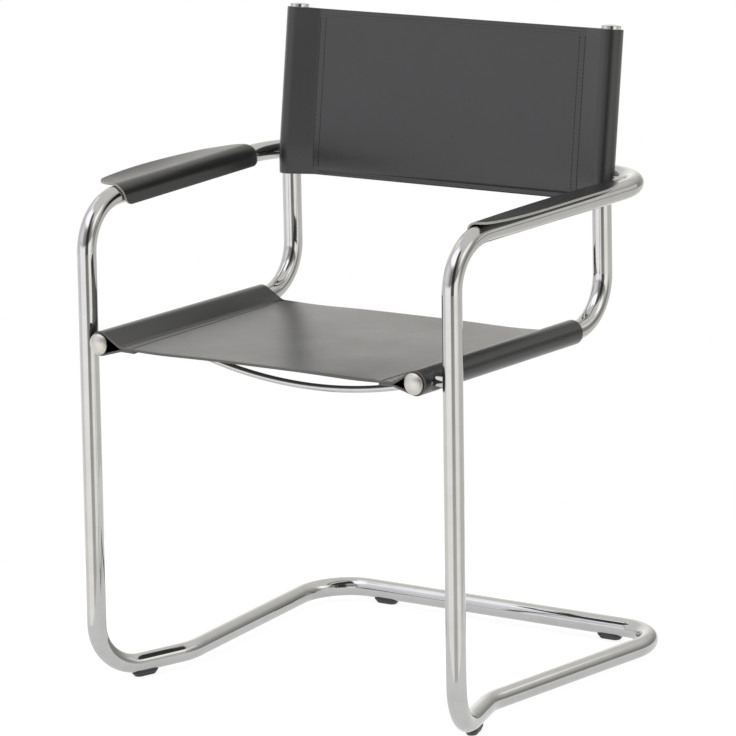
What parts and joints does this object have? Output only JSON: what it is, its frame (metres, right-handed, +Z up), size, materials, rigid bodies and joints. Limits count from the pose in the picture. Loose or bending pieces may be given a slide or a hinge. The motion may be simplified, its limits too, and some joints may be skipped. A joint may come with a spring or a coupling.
{
  "type": "cantilever armchair",
  "caption": "Cantilever armchair of bent chromed tube with stiff black leather slings for seat and back and leather strips on the arms.",
  "frame": {"origin": "on the floor, under the middle of the chair's outline", "axes": "+X across the chair, +Y towards its back, +Z up; the sitter faces -Y"},
  "size_m": [0.6494, 0.499, 0.8168],
  "materials": {
    "chromed_tube": "polished chrome plating",
    "leather": "smooth black saddle leather with a light sheen",
    "front_cap_metal": "satin metal",
    "bolt_steel": "bright zinc",
    "insert_steel": "plain steel",
    "black_nylon": "matte black"
  },
  "bodies": {
    "root": {"outer_frame_right": "chromed_tube", "outer_frame_left": "chromed_tube", "side_frame_right": "chromed_tube", "side_frame_left": "chromed_tube", "under_seat_brace": "chromed_tube", "top_end_cap_right": "chromed_tube", "top_end_cap_left": "chromed_tube", "front_spacer_right": "chromed_tube", "front_spacer_left": "chromed_tube", "rear_spacer_right": "chromed_tube", "rear_spacer_left": "chromed_tube", "seat_sling": "leather", "back_sling": "leather", "arm_pad_right": "leather", "arm_pad_left": "leather", "front_end_cap_right": "front_cap_metal", "front_end_cap_left": "front_cap_metal", "front_bolts": "bolt_steel", "front_bolt_washers": "bolt_steel", "rear_bolts": "bolt_steel", "brace_screws": "bolt_steel", "base_joint_spigot": "insert_steel", "arm_joint_spigot": "insert_steel", "leg_inserts": "insert_steel", "arm_inserts": "insert_steel", "brace_inserts": "insert_steel", "glide_screws": "insert_steel", "front_glide_right": "black_nylon", "front_glide_left": "black_nylon", "rear_glide_right": "black_nylon", "rear_glide_left": "black_nylon"}
  },
  "joints": []
}
